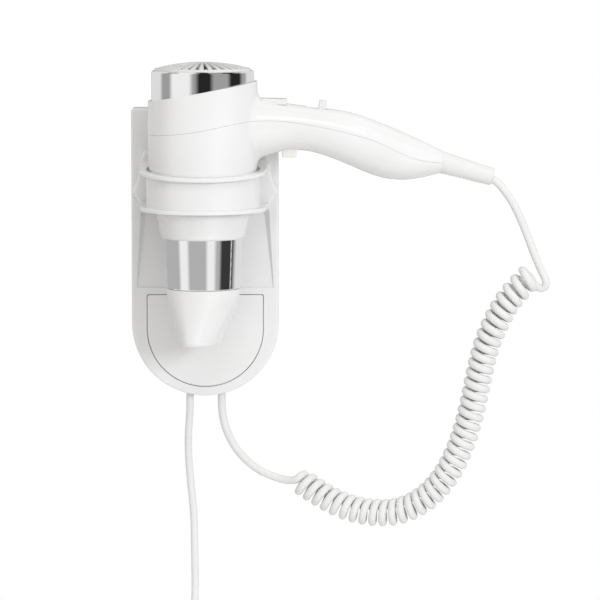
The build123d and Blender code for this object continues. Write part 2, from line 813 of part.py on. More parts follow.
def dome(top, drop_r, drop_z, thick):
    """A shallow cap: an arc from the crown down to (drop_r, drop_z), with a wall below it."""
    mid_r = drop_r * 0.55
    mid_z = top - (top - drop_z) * 0.28
    outer = ThreePointArc((0, top), (mid_r, mid_z), (drop_r, drop_z))
    inner = ThreePointArc((0, top - thick), (mid_r, mid_z - thick), (drop_r, drop_z - thick))
    edges = [outer, Line((drop_r, drop_z), (drop_r, drop_z - thick))]
    edges += [inner, Line((0, top - thick), (0, top))]
    return revolve(Plane.XZ * make_face(edges), Axis.Z)


def make_intake_grille():
    """A ribbed cap over the filter, on a skirt that stands inside the band."""
    edge_z = band_top + grille_foot
    cap = dome(grille_crown, grille_edge_r, edge_z, grille_thick)
    cut_low, cut_high = band_low, grille_crown + past
    slots = pipe_z(grille_open_r, grille_hub_r, cut_low, cut_high)
    rise = barrel_r * math.tan(math.pi / grille_vanes * grille_rib_share)
    wedge = make_face(Polyline((0, 0), (barrel_r, -rise), (barrel_r, rise), close=True))
    vane = upright(wedge, cut_low, cut_high)
    for i in range(grille_vanes):
        slots -= Rot(0, 0, i * 360 / grille_vanes) * vane
    skirt_low = filter_seat_z + filter_seat + filter_thick
    skirt = pipe_z(grille_edge_r, grille_open_r, skirt_low, edge_z - 0.5)
    return (cap - slots) + skirt


def make_fan_duct():
    top_z = band_low
    wall = duct_wall
    neck_out = heater_r + 0.3 + wall
    outline = [
        (duct_r, top_z), (duct_r, duct_low), (neck_out, duct_neck_z), (neck_out, duct_end_z),
        (heater_r + 0.3, duct_end_z), (heater_r + 0.3, duct_neck_z + 0.6), (duct_r - wall, duct_low + 0.6),
        (duct_r - wall, top_z),
    ]
    duct = spin(outline)
    cup_in = motor_r + 0.2
    cup = pipe_z(cup_in + cup_wall, cup_in, end_cap_low, motor_top)
    fin_in, fin_out = cup_in + cup_wall / 2, duct_r - wall / 2
    fin = Rot(stator_angle, 0, 0) * Box(fin_out - fin_in, stator_thick, stator_height)
    for i in range(stator_fins):
        cup += Rot(0, 0, i * 360 / stator_fins) * Pos((fin_in + fin_out) / 2, 0, stator_z) * fin
    return duct + cup


def make_motor_can():
    can = rod(motor_r, motor_low, motor_top - 1.0) + rod(5.0, motor_top - 1.0, motor_top + 2.0)
    can = fillet(can.edges().filter_by(GeomType.CIRCLE).group_by(Axis.Z)[0], 0.6)
    return can - rod(shaft_r + shaft_gap, motor_low - 1, motor_top + 5)


def make_motor_end_cap():
    cap = rod(motor_r, end_cap_low, motor_low)
    return cap - rod(shaft_r + shaft_gap, shaft_low - 0.4, motor_low + 1)


def make_motor_board():
    low = end_cap_low - board_thick
    board = rod(board_r, low, end_cap_low)
    for i in range(4):
        diode = Rot(0, 0, 45 + i * 90) * Pos(7.5, 0, low - 1.2) * Rot(0, 0, 90) * Box(5.0, 2.6, 2.4)
        board += diode
    return board


def make_impeller():
    hub = rod(hub_r, hub_low, hub_high)
    hub = fillet(hub.faces().sort_by(Axis.Z)[-1].edges(), 3.0)
    span = 2 * (fan_tip_r - hub_r)
    blade = Rot(blade_angle, 0, 0) * Box(span, blade_thick, blade_chord)
    blade = Pos((fan_tip_r + hub_r) / 2, 0, (hub_low + hub_high) / 2) * blade
    blades = None
    for i in range(fan_blades):
        turned = Rot(0, 0, i * 360 / fan_blades) * blade
        blades = turned if blades is None else blades + turned
    blades &= pipe_z(fan_tip_r, hub_r - 1.5, hub_low, hub_high + 1.0)
    wheel = hub + blades
    return wheel - rod(shaft_r + 0.02, hub_low - 1, hub_high - 2.0) - rod(shaft_r + 0.02, 90, shaft_top + 3)


def make_heater_boards():
    half = heater_r - mica_wall - 0.3
    low, high = heater_low + 0.2, heater_top - 1.0
    board = Pos(0, 0, (low + high) / 2) * Box(2 * half, board_mica, high - low)
    cross = board + Rot(0, 0, 90) * board
    for z in ring_heights():
        notch_r = heat_ring_r - heat_ring_tube - shaft_gap
        cross -= pipe_z(heater_r, notch_r, z - notch_height / 2, z + notch_height / 2)
    return cross


def ring_heights():
    return [heat_first_z + i * heat_pitch for i in range(heat_rings)]


def make_heater_coils():
    """Each band of resistance coil as one closed ring wound round the cross of boards."""
    return Compound(children=[Pos(0, 0, z) * Torus(heat_ring_r, heat_ring_tube) for z in ring_heights()])


def make_thermostat():
    face = board_mica / 2
    body = Box(thermostat_thick, thermostat_size, thermostat_size)
    body = Pos(face + thermostat_thick / 2, guard_y, thermostat_z) * body
    cap = Rot(0, 90, 0) * rod(thermostat_size / 3, 0, thermostat_cap)
    return body + Pos(face + thermostat_thick, guard_y, thermostat_z) * cap


def make_thermal_fuse():
    return Pos(-(board_mica + fuse_thick) / 2, guard_y, fuse_z) * Box(fuse_thick, fuse_thick, fuse_length)


def make_outlet_sleeve():
    """A bright tube, drawn in towards its end, with a flange that rests inside the casing's collar."""
    inside = sleeve_top_r - sleeve_wall
    high = collar_top + sleeve_flange
    outline = [(sleeve_flange_r, collar_top), (sleeve_flange_r, high), (inside, high)]
    outline += [(inside, sleeve_shoulder_z), (sleeve_end_r - sleeve_wall, sleeve_end_z)]
    outline += [(sleeve_end_r - 0.3, sleeve_end_z), (sleeve_end_r, sleeve_end_z + 0.5)]
    outline += [(sleeve_top_r, sleeve_shoulder_z), (sleeve_top_r, collar_top)]
    return spin(outline)


def sleeve_inner_r(z):
    share = (z - sleeve_end_z) / (sleeve_shoulder_z - sleeve_end_z)
    return sleeve_end_r + share * (sleeve_top_r - sleeve_end_r) - sleeve_wall


def make_outlet_grille():
    high = heater_low
    low = high - out_grille_thick
    outer = sleeve_inner_r(low) - out_grille_gap
    disc = pipe_z(outer, outer - 1.4, low, high)
    step = (outer - 1.4 - 3.0) / out_grille_rings
    for i in range(1, out_grille_rings):
        r = 3.0 + i * step
        disc += pipe_z(r + out_grille_ring_width / 2, r - out_grille_ring_width / 2, low, high)
    disc += rod(3.0, low, high)
    for i in range(out_grille_spokes):
        spoke = Box(outer - 2.0, 1.2, out_grille_thick - 0.4)
        disc += Rot(0, 0, i * 360 / out_grille_spokes) * Pos((outer - 0.6) / 2, 0, (low + high) / 2) * spoke
    return disc


def nozzle_loft(inset, mouth_inset, past_mouth):
    """The nozzle's form drawn in by a wall, with another inset at the mouth."""
    sections = []
    for z, lean, thick, wide in nozzle_sections[:-1]:
        sections.append(Pos(lean, 0, z) * Ellipse(thick - inset, wide - inset))
    z, lean, thick, wide = nozzle_sections[-1]
    sections.append(Pos(lean, 0, z - past_mouth) * Ellipse(thick - mouth_inset, wide - mouth_inset))
    return loft(sections)


def make_nozzle():
    """Round where it clips into the sleeve and drawn in to a flattened oval outlet."""
    outer = nozzle_loft(0, 0, 0)
    outer = fillet(outer.faces().sort_by(Axis.Z)[0].edges(), nozzle_lip_round)
    high = sleeve_end_z - nozzle_gap
    spigot_r = sleeve_inner_r(sleeve_end_z) - spigot_gap
    outer += rod(spigot_r, high - 2.0, spigot_high)
    bore = nozzle_loft(nozzle_wall, nozzle_lip_round + nozzle_rim, 1.0)
    outer -= bore & rod(2 * sleeve_end_r, nozzle_end_z - 5, nozzle_shoulder_z)
    outer -= rod(spigot_r - spigot_wall, nozzle_shoulder_z - 1.0, spigot_high + 1)
    return Rot(0, 0, -nozzle_turn) * outer


# ---- controls ----
def make_switch_knob():
    cap = Pos(knob_rest, 0, knob_lift + (knob_height - well_depth) / 2)
    cap *= Box(knob_length, knob_width, knob_height + well_depth)
    cap = fillet(cap.faces().sort_by(Axis.Z)[-1].edges() + cap.edges().filter_by(Axis.Z), knob_round)
    stem_high = knob_lift - well_depth
    stem = Pos(knob_rest, 0, stem_high - stem_depth / 2) * Box(stem_length, stem_width, stem_depth)
    return switch_place() * (cap + stem)


def make_switch_body():
    height = switch_body_high - switch_body_low
    middle = knob_rest - knob_travel / 2
    body = Pos(middle, 0, (switch_body_high + switch_body_low) / 2)
    body *= Box(switch_body_length, switch_body_width, height)
    slot = Box(knob_travel + stem_length + 2 * slot_gap, stem_width + 2 * slot_gap, 2 * stem_depth)
    body -= Pos(middle, 0, switch_body_high + stem_depth - 5.2) * slot
    return switch_place() * body


def make_press_button():
    height = button_flange_z - button_low
    cap = Pos(button_x, 0, button_low + height / 2) * Box(button_size, button_size, height)
    cap = fillet(cap.faces().sort_by(Axis.Z)[0].edges() + cap.edges().filter_by(Axis.Z), button_round)
    flange = Pos(button_x, 0, button_flange_z + button_flange / 2)
    return cap + flange * Box(button_flange_size, button_flange_size, button_flange)


def make_button_spring():
    low = button_flange_z + button_flange
    turns = 3
    rise = micro_low - low - spring_wire
    wire = Pos(0, 0, low + spring_wire / 2) * Helix(pitch=rise / turns, height=rise, radius=spring_r)
    coil = sweep(Plane(origin=wire @ 0, z_dir=wire % 0) * Circle(spring_wire / 2), path=wire)
    return Pos(button_x, 0, 0) * coil


def make_microswitch():
    body = Pos(button_x, 0, micro_low + micro_height / 2) * Box(micro_length, micro_width, micro_height)
    return fillet(body.edges().filter_by(Axis.Z), 0.6)


def make_handle_screws():
    screws = []
    for x in handle_screw_x:
        head_z = belly_at(x) + handle_head_up
        screw = screw_along(screw_r, screw_head_r - screw_gap, screw_head, screw_tip(x) - head_z)
        screws.append(Pos(x, 0, head_z) * screw)
    return Compound(children=screws)


# ---- mains lead beyond the base ----
coil_mean_r = coil_turn_d / 2
coil_outer_r = coil_mean_r + coil_thick / 2
tail_x = coil_x - coil_mean_r
tail_start_z = coil_z - math.sqrt(coil_outer_r**2 - coil_mean_r**2)
lead_end_z = coil_z + math.sqrt(coil_outer_r**2 - coil_mean_r**2)
plug_top = tail_start_z - tail_length


def make_mains_coil():
    ring = Torus(coil_mean_r, coil_thick / 2)
    return Pos(coil_x, coil_y, coil_z) * Rot(90, 0, 0) * ring


def make_cable_tie():
    tube = coil_thick / 2
    band = Pos(0, 0, 0) * (Cylinder(tube + tie_wrap, tie_width) - Cylinder(tube + 0.2, tie_width + 1))
    band += Pos(tube + tie_wrap + 0.6, 0, 0) * Box(4.0, 5.0, tie_width)
    return Pos(coil_x + coil_mean_r, coil_y, coil_z) * band


def make_plug_body():
    """A flattened grip whose neck tapers up to the cord."""
    low = plug_top - plug_neck - plug_length
    section = RectangleRounded(plug_width, plug_depth, plug_depth / 2 - 2.0)
    body = extrude(Pos(0, 0, low) * section, plug_length)
    body = fillet(body.faces().sort_by(Axis.Z)[-1].edges(), 6.0)
    body = fillet(body.faces().sort_by(Axis.Z)[0].edges(), 1.5)
    root = low + plug_length - 1
    outline = [(0, root), (plug_neck_r + 2.0, root), (plug_neck_r - 1.6, plug_top), (0, plug_top)]
    return Pos(tail_x, coil_y, 0) * (body + spin(outline))


def make_plug_pins():
    low = plug_top - plug_neck - plug_length
    pins = []
    for side in (-1, 1):
        pin = rod(pin_r, low - pin_length, low)
        pin = fillet(pin.faces().sort_by(Axis.Z)[0].edges(), 1.4)
        pins.append(Pos(tail_x + side * pin_pitch / 2, coil_y, 0) * pin)
    return Compound(children=pins)


# ---- every sub-part under its own name ----
def make_all():
    upper, lower = split_casing(make_casing())
    mains_start = (-entry_x, -entry_y, bush_end)
    curly_start = (entry_x, -entry_y, bush_end)
    boot_tip = (boot_end[0], -axis_out, boot_end[1])
    lead_points = [mains_start, *mains_route, (tail_x, coil_y, lead_end_z - 2.0)]
    tail_points = [(tail_x, coil_y, tail_start_z + 2.0), (tail_x, coil_y, plug_top)]
    parts = {
        "front_housing": make_front_housing(),
        "back_plate": make_back_plate(),
        "access_cover": make_access_cover(),
        "holder_ring": make_holder_ring(),
        "terminal_block": make_terminal_block(),
        "terminal_screws": make_terminal_screws(),
        "cord_clamp_bar": make_clamp_bar(),
        "mains_bushing": make_bushing(-1, mains_d),
        "curly_bushing": make_bushing(1, curly_d),
        "mains_lead_inner": Pos(-entry_x, -entry_y, 0) * rod(mains_d / 2, bush_end, block_low),
        "curly_lead_inner": Pos(entry_x, -entry_y, 0) * rod(curly_d / 2, bush_end, block_low),
        "mains_coil": make_mains_coil(),
        "cable_tie": make_cable_tie(),
        "plug_body": make_plug_body(),
        "plug_pins": make_plug_pins(),
        "mains_lead": cord(lead_points, mains_d, "mains_lead"),
        "mains_tail": cord_straight(tail_points, mains_d),
        "curly_lead_lower": cord([curly_start, *lower_route, coil_route[0]], curly_d, "curly_lead_lower"),
        "curly_coil": cord(coil_route, coil_outer_d, "curly_coil"),
        "curly_lead_upper": cord([boot_tip, *upper_route, upper_end()], curly_d, "curly_lead_upper"),
    }
    screw = screw_along(screw_r, screw_head_r, screw_head, housing_screw_length - 2.0)
    parts["housing_screws"] = Compound(children=[outward(x, screw_head, z) * screw for x, z in boss_places])
    pad_inside = base_depth + pad_proud - base_wall
    screw = screw_along(screw_r, screw_head_r, screw_head, ring_screw_length)
    places = [outward(side * ring_screw_x, pad_inside, ring_screw_z) for side in (-1, 1)]
    parts["ring_screws"] = Compound(children=[place * screw for place in places])
    screw = Rot(180, 0, 0) * screw_along(screw_r, screw_head_r, screw_head, clamp_out - plate_thick - 1.0)
    places = [outward(side * clamp_screw_x, clamp_out, clamp_z) for side in (-1, 1)]
    parts["clamp_screws"] = Compound(children=[place * screw for place in places])
    handset = {
        "upper_casing": upper,
        "lower_casing": lower,
        "intake_band": make_intake_band(),
        "intake_grille": make_intake_grille(),
        "dust_filter": make_dust_filter(),
        "fan_duct": make_fan_duct(),
        "motor_can": make_motor_can(),
        "motor_end_cap": make_motor_end_cap(),
        "motor_board": make_motor_board(),
        "motor_shaft": rod(shaft_r, shaft_low, shaft_top),
        "impeller": make_impeller(),
        "heater_sleeve": pipe_z(heater_r, heater_r - mica_wall, heater_low, heater_top),
        "heater_boards": make_heater_boards(),
        "heater_coils": make_heater_coils(),
        "thermostat": make_thermostat(),
        "thermal_fuse": make_thermal_fuse(),
        "outlet_sleeve": make_outlet_sleeve(),
        "outlet_grille": make_outlet_grille(),
        "nozzle": make_nozzle(),
        "switch_knob": make_switch_knob(),
        "switch_body": make_switch_body(),
        "press_button": make_press_button(),
        "button_spring": make_button_spring(),
        "microswitch": make_microswitch(),
        "handle_screws": make_handle_screws(),
        "cord_boot": make_boot(),
        "handset_lead_inner": make_handset_inner_lead(),
        "handle_cord_clamp": make_handle_clamp(),
        "handle_clamp_screws": make_handle_clamp_screws(),
    }
    parts.update({name: at_axis * shape for name, shape in handset.items()})
    return parts


def cord_straight(points, diameter):
    (x, y, high), (_, _, low) = points
    return Pos(x, y, 0) * rod(diameter / 2, low, high)


def upper_end():
    """Just short of the coil's end face, so that the two never touch."""
    tip, before = Vector(*coil_route[-1]), Vector(*coil_route[-2])
    spot = tip + (tip - before).normalized() * 0.3
    return (spot.X, spot.Y, spot.Z)


os.makedirs("parts", exist_ok=True)
for name, shape in make_all().items():
    export_step(shape, f"parts/{name}.step")
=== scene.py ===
import json
import math

import bmesh
import bpy
import numpy as np
from mathutils import Matrix, Vector


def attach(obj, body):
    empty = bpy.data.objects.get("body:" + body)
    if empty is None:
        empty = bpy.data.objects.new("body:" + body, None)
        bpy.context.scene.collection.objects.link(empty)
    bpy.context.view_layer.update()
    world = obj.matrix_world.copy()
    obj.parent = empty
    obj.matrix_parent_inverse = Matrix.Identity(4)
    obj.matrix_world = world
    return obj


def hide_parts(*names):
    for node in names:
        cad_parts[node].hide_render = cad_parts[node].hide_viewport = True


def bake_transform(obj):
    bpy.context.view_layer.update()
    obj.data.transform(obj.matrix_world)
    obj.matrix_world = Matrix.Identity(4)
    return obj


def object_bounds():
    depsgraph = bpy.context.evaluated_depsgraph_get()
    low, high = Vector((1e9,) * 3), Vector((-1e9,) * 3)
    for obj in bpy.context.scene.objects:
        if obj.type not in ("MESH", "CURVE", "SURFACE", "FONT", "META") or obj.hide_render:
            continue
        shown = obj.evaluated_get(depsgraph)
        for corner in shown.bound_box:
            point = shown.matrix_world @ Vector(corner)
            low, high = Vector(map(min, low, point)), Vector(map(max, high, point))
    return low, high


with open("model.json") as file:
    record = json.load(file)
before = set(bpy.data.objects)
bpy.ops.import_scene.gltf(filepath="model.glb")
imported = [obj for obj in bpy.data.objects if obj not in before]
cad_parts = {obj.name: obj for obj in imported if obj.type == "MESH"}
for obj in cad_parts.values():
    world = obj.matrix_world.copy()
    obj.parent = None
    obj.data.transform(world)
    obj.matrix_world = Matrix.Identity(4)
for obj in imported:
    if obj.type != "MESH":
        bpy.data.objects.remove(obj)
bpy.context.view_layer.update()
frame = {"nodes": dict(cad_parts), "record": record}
scene = bpy.context.scene
MM = 0.001

# ---------------------------------------------------------------- camera
AIM = Vector((0.06392, 0.0, -0.0335))
DISTANCE = 2.4
ELEVATION = math.radians(6.0)
FIELD = 0.408

camera_data = bpy.data.cameras.new("camera")
camera_data.sensor_width = 36.0
camera_data.lens = 36.0 * DISTANCE / FIELD
camera_data.clip_end = 50.0
camera = bpy.data.objects.new("camera", camera_data)
scene.collection.objects.link(camera)
look = Vector((0.0, math.cos(ELEVATION), -math.sin(ELEVATION)))
camera.location = AIM - DISTANCE * look
camera.rotation_euler = look.to_track_quat("-Z", "Y").to_euler()
scene.camera = camera

# ---------------------------------------------------------------- routes, in millimetres, as in the solids
ENTRY_X, ENTRY_Y = 10.75, -9.25
BUSH_END = -94.32
CURLY_D = 5.3
MAINS_D = 5.0
COIL_R = 6.6
LOWER_ROUTE = [
    (10.75, -9.25, -108.5), (13.8, -11.0, -122.0), (22.0, -13.6, -136.5), (35.5, -17.6, -148.0),
    (51.0, -22.2, -153.2), (57.0, -25.6, -153.6), (60.2, -27.6, -152.9),
]
COIL_ROUTE = [
    (62.5, -25.4, -152.6), (83.5, -31.3, -166.5), (106.0, -38.0, -173.2), (128.5, -44.6, -172.8),
    (147.5, -50.3, -163.2), (161.8, -54.7, -146.3), (171.6, -57.8, -125.0), (178.3, -59.8, -101.0),
    (182.8, -61.2, -76.5), (188.2, -62.9, -53.5), (198.0, -64.0, -32.5), (206.3, -64.0, -20.9),
    (215.6, -64.0, -11.6),
]
UPPER_ROUTE = [
    (219.6, -60.2, -18.4), (225.4, -61.4, -19.8), (227.6, -63.2, -14.8), (223.2, -64.0, -7.0),
    (217.2, -64.0, 7.5), (212.3, -64.0, 21.0), (205.2, -64.0, 36.8), (198.2, -64.0, 46.8),
    (192.6, -64.0, 53.2), (181.5, -64.0, 57.5),
]
MAINS_ROUTE = [
    (-10.75, -9.25, -108.0), (-12.4, -10.3, -129.0), (-10.9, -11.1, -153.0), (-8.1, -12.3, -178.0),
    (-7.8, -13.5, -205.0), (-7.3, -14.6, -234.0),
]
COIL_CENTRE = (21.0, -15.0, -286.0)
PLUG_TOP_Z = -324.3
PLUG_X = -7.5


def link(data, name):
    obj = bpy.data.objects.new(name, data)
    scene.collection.objects.link(obj)
    return obj


def nurbs(name, points, resolution=4):
    """One open NURBS spline with these control points, given in millimetres."""
    data = bpy.data.curves.new(name, "CURVE")
    data.dimensions = "3D"
    data.resolution_u = resolution
    spline = data.splines.new("NURBS")
    spline.points.add(len(points) - 1)
    for spot, p in zip(spline.points, points):
        spot.co = (p[0] * MM, p[1] * MM, p[2] * MM, 1.0)
    spline.order_u = 3
    spline.use_endpoint_u = True
    return link(data, name)


def along(curve):
    """The points of a bevel-less curve, in metres."""
    mesh = bpy.data.meshes.new_from_object(curve)
    found = np.array([v.co for v in mesh.vertices], float)
    bpy.data.meshes.remove(mesh)
    return found


def drop(obj):
    data = obj.data
    bpy.data.objects.remove(obj)
    bpy.data.curves.remove(data)


def resample(points, count):
    """Evenly spaced points along a polyline, and their unit tangents."""
    steps = np.linalg.norm(np.diff(points, axis=0), axis=1)
    at = np.concatenate([[0.0], np.cumsum(steps)])
    want = np.linspace(0, at[-1], count)
    spots = np.stack([np.interp(want, at, points[:, k]) for k in range(3)], axis=1)
    tangents = np.gradient(spots, axis=0)
    tangents /= np.linalg.norm(tangents, axis=1)[:, None]
    return spots, tangents


def tube(name, path, radius, sides=12):
    """A closed round tube whose rings are centred on the path's points, in metres."""
    path = np.asarray(path, float)
    tangent = np.gradient(path, axis=0)
    tangent /= np.linalg.norm(tangent, axis=1)[:, None]
    normal = np.cross(tangent[0], (0.0, 1.0, 0.0))
    if np.linalg.norm(normal) < 0.1:
        normal = np.cross(tangent[0], (1.0, 0.0, 0.0))
    verts = []
    angles = np.linspace(0, 2 * math.pi, sides, endpoint=False)
    for spot, t in zip(path, tangent):
        normal = normal - t * np.dot(normal, t)
        normal /= np.linalg.norm(normal)
        side = np.cross(t, normal)
        ring = spot + radius * (np.cos(angles)[:, None] * normal + np.sin(angles)[:, None] * side)
        verts.extend(ring.tolist())
    faces = []
    for i in range(len(path) - 1):
        for j in range(sides):
            k = (j + 1) % sides
            faces.append((i * sides + j, i * sides + k, (i + 1) * sides + k, (i + 1) * sides + j))
    faces.append(tuple(reversed(range(sides))))
    last = (len(path) - 1) * sides
    faces.append(tuple(last + j for j in range(sides)))
    mesh = bpy.data.meshes.new(name)
    mesh.from_pydata(verts, [], faces)
    mesh.polygons.foreach_set("use_smooth", [True] * (len(faces) - 2) + [False] * 2)
    mesh.update()
    return link(mesh, name)


# ---------------------------------------------------------------- curly cord
TURNS = 40.6
PER_TURN = 16
OPEN_TURNS = 3.0
OPENING = 0.3
LAST_STEPS = 6
# The share of its radius that the coil starts with; it has all of it half a turn on.
FIRST_SHARE = 0.5


def curly_points():
    """Control points of the whole curly cord: lead, left-handed coil and lead."""
    axis_curve = nurbs("curly_axis", COIL_ROUTE, 16)
    axis, tangents = resample(along(axis_curve) / MM, 1600)
    drop(axis_curve)
    count = int(TURNS * PER_TURN)
    # Each step's share of the axis: even, more open over the last turns, and none behind the last one.
    share = np.ones(count)
    tail = int(OPEN_TURNS * PER_TURN)
    share[-tail:] += OPENING * np.linspace(0, 1, tail)
    share[-LAST_STEPS:] = 0.0
    where = np.concatenate([[0.0], np.cumsum(share)])
    where = where / where[-1]
    radius = COIL_R / math.cos(math.pi / PER_TURN)
    helix = []
    for i, w in enumerate(where):
        spot = np.array([np.interp(w, np.linspace(0, 1, len(axis)), axis[:, k]) for k in range(3)])
        t = np.array([np.interp(w, np.linspace(0, 1, len(axis)), tangents[:, k]) for k in range(3)])
        t /= np.linalg.norm(t)
        front = np.array((0.0, -1.0, 0.0))
        front -= t * np.dot(front, t)
        front /= np.linalg.norm(front)
        up = np.cross(front, t)
        theta = 2 * math.pi * i / PER_TURN
        grown = radius * min(1.0, FIRST_SHARE + (1 - FIRST_SHARE) * theta / math.pi)
        helix.append(tuple(spot + grown * (math.cos(theta) * front + math.sin(theta) * up)))
    start = [(ENTRY_X, ENTRY_Y, BUSH_END + 6.0), (ENTRY_X, ENTRY_Y, BUSH_END)] + LOWER_ROUTE
    return start + helix + UPPER_ROUTE


curly_curve = nurbs("curly_line", curly_points(), 3)
curly_path = along(curly_curve)
drop(curly_curve)
curly = tube("curly_cord", curly_path, CURLY_D / 2 * MM, 12)
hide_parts("curly_lead_lower", "curly_coil", "curly_lead_upper")

# ---------------------------------------------------------------- mains lead
LAYER_TURNS = 3.5
ROWS_OUT = (36.1, 20.7)
LAYER_HALF = 2.62


def mains_points():
    """Control points of the mains lead: down from the base, a coil of two flat layers, and the plug."""
    cx, cy, cz = COIL_CENTRE
    outer, inner = ROWS_OUT
    points = [(-ENTRY_X, ENTRY_Y, BUSH_END + 6.0), (-ENTRY_X, ENTRY_Y, BUSH_END)] + MAINS_ROUTE
    points += [(-9.2, -15.6, -252.0), (-13.6, -17.0, -268.0)]
    per_turn = 20
    half = int(LAYER_TURNS * per_turn)
    grow = 1 / math.cos(math.pi / per_turn)
    for i in range(2 * half + 1):
        angle = math.pi + 2 * math.pi * i / per_turn
        share = i / half if i <= half else 2 - i / half
        radius = (outer + (inner - outer) * share) * grow
        cross = min(1.0, max(0.0, (i - half + 5) / 10))
        cross = cross * cross * (3 - 2 * cross)
        y = cy + LAYER_HALF * (2 * cross - 1)
        points.append((cx + radius * math.cos(angle), y, cz + radius * math.sin(angle)))
    points += [(-15.2, -12.6, -292.0), (-13.4, -13.4, -303.0), (-9.4, -14.5, -313.0), (PLUG_X, cy, -321.0)]
    points += [(PLUG_X, cy, PLUG_TOP_Z - 1.0), (PLUG_X, cy, PLUG_TOP_Z - 9.0)]
    return points


mains_curve = nurbs("mains_line", mains_points(), 4)
mains_path = along(mains_curve)
drop(mains_curve)
mains = tube("mains_cord", mains_path, MAINS_D / 2 * MM, 12)
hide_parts("mains_lead", "mains_coil", "mains_tail")
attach(mains, "wall_unit")


# ---------------------------------------------------------------- cable tie round the put-away turns
def oval(half_x, half_y, round_r, steps=8):
    """A rounded rectangle about the origin, counter-clockwise, in millimetres."""
    points = []
    for cx, cy, first in ((1, 1, 0), (-1, 1, 90), (-1, -1, 180), (1, -1, 270)):
        for k in range(steps + 1):
            a = math.radians(first + 90 * k / steps)
            x = cx * (half_x - round_r) + round_r * math.cos(a)
            y = cy * (half_y - round_r) + round_r * math.sin(a)
            points.append((x, y))
    return points


def band(bm, outline, inside, low, high):
    """A closed strap: two outlines joined from low to high."""
    rings = []
    for line, z in ((outline, low), (outline, high), (inside, high), (inside, low)):
        rings.append([bm.verts.new((x * MM, y * MM, z * MM)) for x, y in line])
    count = len(outline)
    for first, second in zip(rings, rings[1:] + rings[:1]):
        for i in range(count):
            k = (i + 1) % count
            bm.faces.new((first[i], first[k], second[k], second[i]))


def block(bm, low, high, bevel):
    """A box between two corners with its edges rounded."""
    made = bmesh.ops.create_cube(bm, size=1.0)["verts"]
    for vert in made:
        spot = [(low[k] + high[k]) / 2 * MM + vert.co[k] * (high[k] - low[k]) * MM for k in range(3)]
        vert.co = Vector(spot)
    edges = list({edge for vert in made for edge in vert.link_edges})
    bmesh.ops.bevel(bm, geom=edges, offset=bevel * MM, segments=2, affect="EDGES", profile=0.7)


def make_tie():
    """A nylon tie round the bundle: a ribbed strap, its ratchet head on the outside and a cut tail."""
    bm = bmesh.new()
    inner = (10.5, 5.4, 2.9)
    band(bm, oval(11.6, 6.5, 4.0), oval(*inner), -2.3, 2.3)
    for k in range(12):
        x = -6.6 + 1.2 * k
        block(bm, (x - 0.3, -6.85, -1.9), (x + 0.3, -6.4, 1.9), 0.1)
    block(bm, (11.4, -3.4, -3.0), (15.4, 1.8, 3.0), 0.5)
    block(bm, (12.6, 1.6, -2.2), (13.8, 4.6, 2.2), 0.2)
    block(bm, (12.9, -4.1, -1.6), (14.6, -3.3, 1.6), 0.2)
    mesh = bpy.data.meshes.new("strap_tie")
    bm.to_mesh(mesh)
    bm.free()
    made = link(mesh, "strap_tie")
    mesh.transform(Matrix.Translation(Vector((49.4, COIL_CENTRE[1], COIL_CENTRE[2])) * MM))
    return made


tie = make_tie()
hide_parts("cable_tie")
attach(tie, "wall_unit")

# ---------------------------------------------------------------- return spring, squashed by the button
spring = link(frame["nodes"]["button_spring"].data.copy(), "return_spring")
spring.matrix_world = frame["nodes"]["button_spring"].matrix_world.copy()
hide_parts("button_spring")
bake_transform(spring)


# ---------------------------------------------------------------- materials
def material(name):
    made = bpy.data.materials.new(name)
    made.use_nodes = True
    nodes = made.node_tree.nodes
    return made, nodes, made.node_tree.links, nodes["Principled BSDF"]


def noise(nodes, links, scale, detail=3.0, stretch=(1, 1, 1), roughness=0.5):
    coords = nodes.new("ShaderNodeTexCoord")
    mapping = nodes.new("ShaderNodeMapping")
    mapping.inputs["Scale"].default_value = stretch
    links.new(coords.outputs["Object"], mapping.inputs["Vector"])
    texture = nodes.new("ShaderNodeTexNoise")
    texture.inputs["Scale"].default_value = scale
    texture.inputs["Detail"].default_value = detail
    texture.inputs["Roughness"].default_value = roughness
    links.new(mapping.outputs["Vector"], texture.inputs["Vector"])
    return texture.outputs["Fac"]


def remap(nodes, links, value, low, high, start=0.3, end=0.7):
    ranged = nodes.new("ShaderNodeMapRange")
    for key, number in (("From Min", start), ("From Max", end), ("To Min", low), ("To Max", high)):
        ranged.inputs[key].default_value = number
    links.new(value, ranged.inputs["Value"])
    return ranged.outputs["Result"]


def mix_colours(nodes, links, factor, low, high):
    mixed = nodes.new("ShaderNodeMix")
    mixed.data_type = "RGBA"
    mixed.inputs["A"].default_value = (*low, 1)
    mixed.inputs["B"].default_value = (*high, 1)
    links.new(factor, mixed.inputs["Factor"])
    return mixed.outputs["Result"]


def bump(nodes, links, shader, height, strength, distance):
    node = nodes.new("ShaderNodeBump")
    node.inputs["Strength"].default_value = strength
    node.inputs["Distance"].default_value = distance
    links.new(height, node.inputs["Height"])
    links.new(node.outputs["Normal"], shader.inputs["Normal"])
    return node


def plastic(name, low, high, rough=(0.2, 0.3), grain=900.0, strength=0.015, distance=0.00002, coat=0.0):
    """Moulded plastic: a faint drift of colour, uneven gloss and a fine grain."""
    made, nodes, links, shader = material(name)
    drift = remap(nodes, links, noise(nodes, links, 18.0, 4.0), 0.0, 1.0)
    links.new(mix_colours(nodes, links, drift, low, high), shader.inputs["Base Color"])
    gloss = remap(nodes, links, noise(nodes, links, 55.0, 5.0), *rough)
    links.new(gloss, shader.inputs["Roughness"])
    shader.inputs["IOR"].default_value = 1.5
    shader.inputs["Coat Weight"].default_value = coat
    shader.inputs["Coat Roughness"].default_value = 0.08
    bump(nodes, links, shader, noise(nodes, links, grain, 2.0), strength, distance)
    return made


